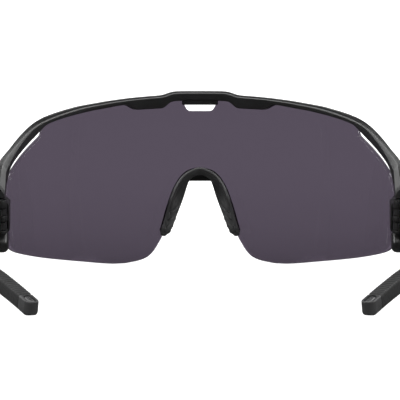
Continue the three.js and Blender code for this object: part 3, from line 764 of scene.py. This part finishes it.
def inlay_prism(name, levels):
    """A round-ended bar at the temple's end. levels are (height over the centre line, grow)."""
    place = 1 - INLAY_FROM_END / TEMPLE_LENGTH
    center = temple_point(place)
    run, out, up = temple_axes(place)
    rings = [
        [tuple(center + run * x + out * y + up * z) for x, y in inlay_outline(grow)] for z, grow in levels
    ]
    return loft(name, rings, sharp=50)


CAP_RADIUS = 4.3 / 2 + 0.1  # half the cap's width, which its end is rounded to
CAP_TOP = 4.7 / 2 + 0.1  # height of its top over the centre line


def build_cap():
    """The end cap, rounded in plan at its end and tucked in underneath."""
    radius = CAP_RADIUS
    turns = np.linspace(math.pi / 2, 0.02, 18)
    straight = np.linspace((1 - CAP_START) * TEMPLE_LENGTH, radius, 14)[:-1]
    from_end = [*straight, *(radius * (1 - np.cos(turns)))]
    rings = []
    for i, distance in enumerate(from_end):
        near = min(distance, radius)
        width = 2 * math.sqrt(max(radius**2 - (radius - near) ** 2, 1e-4))
        place = 1 - distance / TEMPLE_LENGTH
        height = float(TEMPLE_HEIGHT(place)) + 0.2 - 0.3 * (1 - near / radius) ** 2
        start = 0.94 if i == 0 else 1
        tuck = 0.9 * (1 - near / radius) ** 2

        def lift(across, raised, tuck=tuck):
            return tuck if raised < 0 else 0

        corners = [0.6, 0.6, 1.35, 1.35]
        rings.append(temple_ring(place, width * start, height * start, corners, lift))
    cap = loft("tip_cap_right_fine", rings, sharp=50)
    recess = inlay_prism("recess", [(CAP_TOP - 1.02, 0.28), (CAP_TOP - 0.2, 0.28), (CAP_TOP + 1.5, 0.75)])
    bore = wire_bore(steps((CAP_START - 0.01, CAP_START + 0.026, 6)))
    floor = box_mesh("floor", (30, -95, -4), (90, -60, 0))
    return tidy(combine(cap, [recess, bore, floor], "DIFFERENCE"), 45)


def build_inlay():
    top = CAP_TOP - 0.12
    return inlay_prism(
        "tip_inlay_right_fine",
        [(top - 0.6, -0.05), (top - 0.42, 0), (top - 0.1, -0.26), (top, -0.45)],
    )


# ---------------------------------------------------------------- hinges


def build_hinge_block():
    """The block behind the lens edge, slotted into three lugs and bored for the screw and insert."""
    block = hinge_block_room("hinge_block_right_fine", 0)
    combine(block, [outside_wing("outside", 0.0)], "DIFFERENCE")
    for low, high in HINGE_SLOTS:
        disc = at_hinge(disc_mesh("slot", SLOT_RADIUS, low, high))
        rear = at_hinge(box_mesh("rear", (-SLOT_RADIUS, -5, low), (5, 0, high)))
        root = at_hinge(box_mesh("front", (-SLOT_RADIUS, -0.01, low), (0, 1.4, high)))
        combine(block, [disc, rear, root], "DIFFERENCE")
    bore = at_hinge(disc_mesh("bore", PIN_BORE, HINGE_BOTTOM - 3, HINGE_TOP + 3))
    head = at_hinge(disc_mesh("head", HEAD_ROOM_RADIUS, HINGE_TOP - HEAD_ROOM_DEPTH, HINGE_TOP + 3))
    insert_top = HINGE_BOTTOM + INSERT_ROOM_DEPTH
    insert = at_hinge(disc_mesh("insert", INSERT_ROOM_RADIUS, HINGE_BOTTOM - 3, insert_top))
    combine(block, [bore, head, insert, lens_seat("seat")], "DIFFERENCE")
    return rounded(tidy(block, 35), 0.12, segments=2, angle=50)


def refined(node, bevel):
    """A copy of a CAD node's mesh with its flat facets merged and its edges rounded."""
    piece = copy_of(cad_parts[node], node + "_fine")
    made = bmesh.new()
    made.from_mesh(piece.data)
    bmesh.ops.remove_doubles(made, verts=made.verts, dist=1e-6)
    bmesh.ops.dissolve_limit(made, angle_limit=math.radians(1), verts=made.verts, edges=made.edges)
    made.to_mesh(piece.data)
    made.free()
    piece.data.materials.clear()
    return rounded(piece, bevel, segments=2, angle=30, sharp=30)


# ---------------------------------------------------------------- materials


def node_material(name):
    material = bpy.data.materials.new(name)
    material.use_nodes = True
    nodes, links = material.node_tree.nodes, material.node_tree.links
    return material, nodes, links, nodes["Principled BSDF"]


def add(nodes, kind, **values):
    node = nodes.new(kind)
    for key, value in values.items():
        if hasattr(node, key):
            setattr(node, key, value)
        else:
            node.inputs[key].default_value = value
    return node


def ramp(nodes, low, high):
    """A colour ramp over the middle of a noise texture's range."""
    node = nodes.new("ShaderNodeValToRGB")
    node.color_ramp.elements[0].position = 0.3
    node.color_ramp.elements[1].position = 0.7
    node.color_ramp.elements[0].color = (*low, 1)
    node.color_ramp.elements[1].color = (*high, 1)
    return node


def grey(value):
    """A grey that is very slightly blue."""
    return (value, value, value * 1.02)


def moulded(name, dark, light, roughness, grain=2600.0, bump=0.05, specular=0.5):
    """Dark moulded plastic or rubber: a fine moulded grain, and slow changes of tone and gloss."""
    material, nodes, links, shader = node_material(name)
    place = nodes.new("ShaderNodeTexCoord")
    slow = add(nodes, "ShaderNodeTexNoise", Scale=90.0, Detail=3.0, Roughness=0.55)
    fine = add(nodes, "ShaderNodeTexNoise", Scale=grain, Detail=4.0, Roughness=0.6)
    links.new(place.outputs["Object"], slow.inputs["Vector"])
    links.new(place.outputs["Object"], fine.inputs["Vector"])
    tone = ramp(nodes, dark, light)
    links.new(slow.outputs["Fac"], tone.inputs["Fac"])
    links.new(tone.outputs["Color"], shader.inputs["Base Color"])
    gloss = ramp(nodes, grey(roughness[0]), grey(roughness[1]))
    links.new(fine.outputs["Fac"], gloss.inputs["Fac"])
    links.new(gloss.outputs["Color"], shader.inputs["Roughness"])
    relief = add(nodes, "ShaderNodeBump", Strength=bump, Distance=0.0002)
    links.new(fine.outputs["Fac"], relief.inputs["Height"])
    links.new(relief.outputs["Normal"], shader.inputs["Normal"])
    shader.inputs["Specular IOR Level"].default_value = specular
    return material


def knurled_rubber(name):
    """Charcoal rubber with a fine knurl of small cells."""
    material, nodes, links, shader = node_material(name)
    place = nodes.new("ShaderNodeTexCoord")
    cells = add(nodes, "ShaderNodeTexVoronoi", Scale=2400.0, Randomness=0.35)
    fine = add(nodes, "ShaderNodeTexNoise", Scale=1400.0, Detail=5.0, Roughness=0.65)
    slow = add(nodes, "ShaderNodeTexNoise", Scale=120.0, Detail=2.0, Roughness=0.5)
    for texture in (cells, fine, slow):
        links.new(place.outputs["Object"], texture.inputs["Vector"])
    tone = ramp(nodes, grey(0.007), grey(0.012))
    links.new(slow.outputs["Fac"], tone.inputs["Fac"])
    links.new(tone.outputs["Color"], shader.inputs["Base Color"])
    gloss = ramp(nodes, grey(0.55), grey(0.8))
    links.new(fine.outputs["Fac"], gloss.inputs["Fac"])
    links.new(gloss.outputs["Color"], shader.inputs["Roughness"])
    relief = add(nodes, "ShaderNodeBump", Strength=0.35, Distance=0.00012)
    links.new(cells.outputs["Distance"], relief.inputs["Height"])
    links.new(relief.outputs["Normal"], shader.inputs["Normal"])
    shader.inputs["Specular IOR Level"].default_value = 0.25
    return material


def tinted_lens(name):
    """Dark violet-grey polycarbonate with a polished face."""
    material, nodes, links, shader = node_material(name)
    place = nodes.new("ShaderNodeTexCoord")
    haze = add(nodes, "ShaderNodeTexNoise", Scale=35.0, Detail=3.0, Roughness=0.5)
    links.new(place.outputs["Object"], haze.inputs["Vector"])
    gloss = ramp(nodes, grey(0.0), grey(0.03))
    links.new(haze.outputs["Fac"], gloss.inputs["Fac"])
    links.new(gloss.outputs["Color"], shader.inputs["Roughness"])
    shader.inputs["Base Color"].default_value = (0.0559, 0.0459, 0.0627, 1)
    shader.inputs["Transmission Weight"].default_value = 1.0
    shader.inputs["IOR"].default_value = 1.08
    shader.inputs["Coat Weight"].default_value = 0.35
    shader.inputs["Coat Roughness"].default_value = 0.02
    shader.inputs["Coat IOR"].default_value = 1.5
    return material


def metal(name, color, roughness):
    material, nodes, links, shader = node_material(name)
    place = nodes.new("ShaderNodeTexCoord")
    turned = add(nodes, "ShaderNodeTexNoise", Scale=3000.0, Detail=3.0, Roughness=0.6)
    links.new(place.outputs["Object"], turned.inputs["Vector"])
    gloss = ramp(nodes, grey(roughness - 0.1), grey(roughness + 0.12))
    links.new(turned.outputs["Fac"], gloss.inputs["Fac"])
    links.new(gloss.outputs["Color"], shader.inputs["Roughness"])
    tone = ramp(nodes, tuple(c * 0.85 for c in color), color)
    links.new(turned.outputs["Fac"], tone.inputs["Fac"])
    links.new(tone.outputs["Color"], shader.inputs["Base Color"])
    shader.inputs["Metallic"].default_value = 1.0
    return material


MATERIALS = {
    "frame": moulded("satin_black", grey(0.006), grey(0.010), (0.28, 0.38), bump=0.03),
    "lens": tinted_lens("tinted_polycarbonate"),
    "carrier": moulded("carrier_black", grey(0.003), grey(0.006), (0.4, 0.55), specular=0.25),
    "nose_rubber": moulded(
        "nose_rubber", grey(0.015), grey(0.025), (0.34, 0.5), grain=3200.0, bump=0.08, specular=0.4
    ),
    "hinge_block": moulded("hinge_black", grey(0.004), grey(0.008), (0.36, 0.5), bump=0.06, specular=0.35),
    "rubber_sleeve": knurled_rubber("sleeve_rubber"),
    "tip_cap": moulded("cap_charcoal", grey(0.02), grey(0.034), (0.4, 0.55), bump=0.12, specular=0.3),
    "tip_inlay": moulded("inlay_grey", grey(0.03), grey(0.05), (0.22, 0.3), bump=0.03),
    "steel": metal("screw_steel", (0.42, 0.42, 0.43), 0.35),
    "brass": metal("insert_brass", (0.55, 0.40, 0.16), 0.35),
}


def finished(piece, body, slot, *nodes):
    piece.data.materials.clear()
    piece.data.materials.append(MATERIALS[slot])
    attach(piece, body)
    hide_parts(*nodes)
    return piece


# ---------------------------------------------------------------- assembly


def dress_front():
    finished(build_lens(), "front", "lens", "shield_lens")
    finished(build_brow(), "front", "frame", "brow_frame")
    finished(build_carrier(), "front", "carrier", "nose_carrier")
    pad = finished(build_pad(), "front", "nose_rubber", "nose_pad")
    block = build_hinge_block()
    other = mirror_copy(block, "hinge_block_left_fine")
    finished(block, "front", "hinge_block", "hinge_block_right")
    finished(other, "front", "hinge_block", "hinge_block_left")
    for side in ("left", "right"):
        finished(refined("hinge_screw_" + side, 0.06), "front", "steel", "hinge_screw_" + side)
        finished(refined("hinge_insert_" + side, 0.05), "front", "brass", "hinge_insert_" + side)


def dress_temples():
    pieces = [
        ("temple_arm", build_arm(), "frame"),
        ("temple_grip", build_grip(), "rubber_sleeve"),
        ("tip_cap", build_cap(), "tip_cap"),
        ("tip_inlay", build_inlay(), "tip_inlay"),
    ]
    for name, piece, slot in pieces:
        other = mirror_copy(piece, name + "_left_fine")
        finished(piece, "right_temple", slot, name + "_right")
        finished(other, "left_temple", slot, name + "_left")
    for side in ("left", "right"):
        wire = refined("core_wire_" + side, 0.05)
        finished(wire, side + "_temple", "steel", "core_wire_" + side)


# ---------------------------------------------------------------- stage


def glowing_white(name, strength):
    material, nodes, links, shader = node_material(name)
    shader.inputs["Base Color"].default_value = (0.5, 0.5, 0.5, 1)
    shader.inputs["Roughness"].default_value = 0.9
    shader.inputs["Specular IOR Level"].default_value = 0.0
    shader.inputs["Emission Color"].default_value = (1, 1, 1, 1)
    shader.inputs["Emission Strength"].default_value = strength
    return material


def plane(name, width, depth, place, turn=(0, 0, 0)):
    mesh = bpy.data.meshes.new(name)
    w, d = width / 2, depth / 2
    mesh.from_pydata([(-w, -d, 0), (w, -d, 0), (w, d, 0), (-w, d, 0)], [], [(0, 1, 2, 3)])
    made = bpy.data.objects.new(name, mesh)
    made.location, made.rotation_euler = place, turn
    bpy.context.scene.collection.objects.link(made)
    return made


def area_light(name, size, radiance, place, target=None, turn=0.0):
    """A soft panel that faces a target, or straight down when it has none."""
    data = bpy.data.lights.new(name, "AREA")
    data.shape = "RECTANGLE"
    data.size, data.size_y = size
    data.energy = radiance * math.pi * size[0] * size[1]
    made = bpy.data.objects.new(name, data)
    made.location = place
    if target is None:
        made.rotation_euler = (0, 0, turn)
    else:
        made.rotation_euler = (Vector(target) - Vector(place)).to_track_quat("-Z", "Y").to_euler()
    bpy.context.scene.collection.objects.link(made)
    return made


# Painted light on the floor: its glow as a share of full strength at distances forward, in metres, dimmer
# near the object.
FLOOR_PAINTED_LIGHT = (
    (0.11, 0.645), (0.15, 0.71), (0.21, 0.785), (0.27, 0.83), (0.4, 0.903), (0.57, 0.958), (1.0, 1.0),
)


def painted_light_floor_material(strength):
    """The white table, which glows: its painted light is stronger towards the backdrop, by distance forward
    in metres.
    """
    material, nodes, links, shader = node_material("floor_painted_light")
    shader.inputs["Base Color"].default_value = (0.12, 0.12, 0.12, 1)
    shader.inputs["Roughness"].default_value = 0.9
    shader.inputs["Specular IOR Level"].default_value = 0.0
    # Painted light: the floor glows, more strongly further forward.
    shader.inputs["Emission Strength"].default_value = strength
    place = nodes.new("ShaderNodeTexCoord")
    parts = nodes.new("ShaderNodeSeparateXYZ")
    light = nodes.new("ShaderNodeValToRGB")
    stops = light.color_ramp.elements
    stops.remove(stops[1])
    stops[0].position, stops[0].color = FLOOR_PAINTED_LIGHT[0][0], (*[FLOOR_PAINTED_LIGHT[0][1]] * 3, 1)
    for distance, share in FLOOR_PAINTED_LIGHT[1:]:
        stops.new(distance).color = (share, share, share, 1)
    links.new(place.outputs["Object"], parts.inputs["Vector"])
    links.new(parts.outputs["Y"], light.inputs["Fac"])
    links.new(light.outputs["Color"], shader.inputs["Emission Color"])
    return material


def build_stage():
    """The floor and four low backdrops round it. Only the far one lights or reflects in the object."""
    floor = plane("floor", 8.0, 8.0, (0, 0, 0))
    floor.data.materials.append(painted_light_floor_material(1.65))
    floor.visible_glossy = False
    wall = plane("backdrop", 8.0, 1.0, (0, 3.0, 0.5), (math.pi / 2, 0, 0))
    wall.data.materials.append(glowing_white("backdrop_white", 1.6))
    for name, turn in (("left", 1), ("near", 2), ("right", 3)):
        angle = turn * math.pi / 2
        place = (-3.0 * math.sin(angle), 3.0 * math.cos(angle), 0.5)
        side = plane("backdrop_" + name, 8.0, 1.0, place, (math.pi / 2, 0, angle))
        side.data.materials.append(wall.data.materials[0])
        side.visible_glossy = False
        side.visible_diffuse = False


def build_lights():
    """An overhead arch of three strips, one behind it, two tall panels in front, and two side fills."""
    area_light("key", (0.6, 0.3), 10, (0.0, -0.27, 0.9))
    area_light("high_rear", (1.0, 0.3), 3.5, (0.0, -0.8, 0.7), (0, 0, 0.03))
    for name, side in (("left", -1), ("right", 1)):
        area_light("arch_" + name, (0.75, 0.3), 10, (side * 0.52, 0.05, 0.9), turn=side * math.radians(48))
        area_light("panel_" + name, (1.0, 0.8), 2.2, (side * 1.0, 0.85, 0.74), (0, 0.05, 0.04))
        area_light("fill_" + name, (0.5, 0.4), 12, (side * 1.1, -0.25, 0.5), (side * 0.06, -0.02, 0.03))
    world = bpy.data.worlds.new("studio")
    world.use_nodes = True
    world.node_tree.nodes["Background"].inputs["Color"].default_value = (1, 1, 1, 1)
    world.node_tree.nodes["Background"].inputs["Strength"].default_value = 0.03
    bpy.context.scene.world = world


CAMERA_DISTANCE, CAMERA_HEIGHT = 0.850, 0.09465
CAMERA_PITCH = math.radians(4.463)
FOCAL_SHARE = 6.474  # focal length over the picture's width


def build_camera():
    data = bpy.data.cameras.new("camera")
    data.sensor_width = 36
    data.lens = FOCAL_SHARE * data.sensor_width
    data.clip_start, data.clip_end = 0.05, 50
    camera = bpy.data.objects.new("camera", data)
    camera.location = (0, -CAMERA_DISTANCE, CAMERA_HEIGHT)
    camera.rotation_euler = (math.pi / 2 - CAMERA_PITCH, 0, 0)
    bpy.context.scene.collection.objects.link(camera)
    bpy.context.scene.camera = camera


build_camera()
build_stage()
build_lights()
dress_front()
dress_temples()
bpy.context.scene.view_settings.view_transform = "Standard"
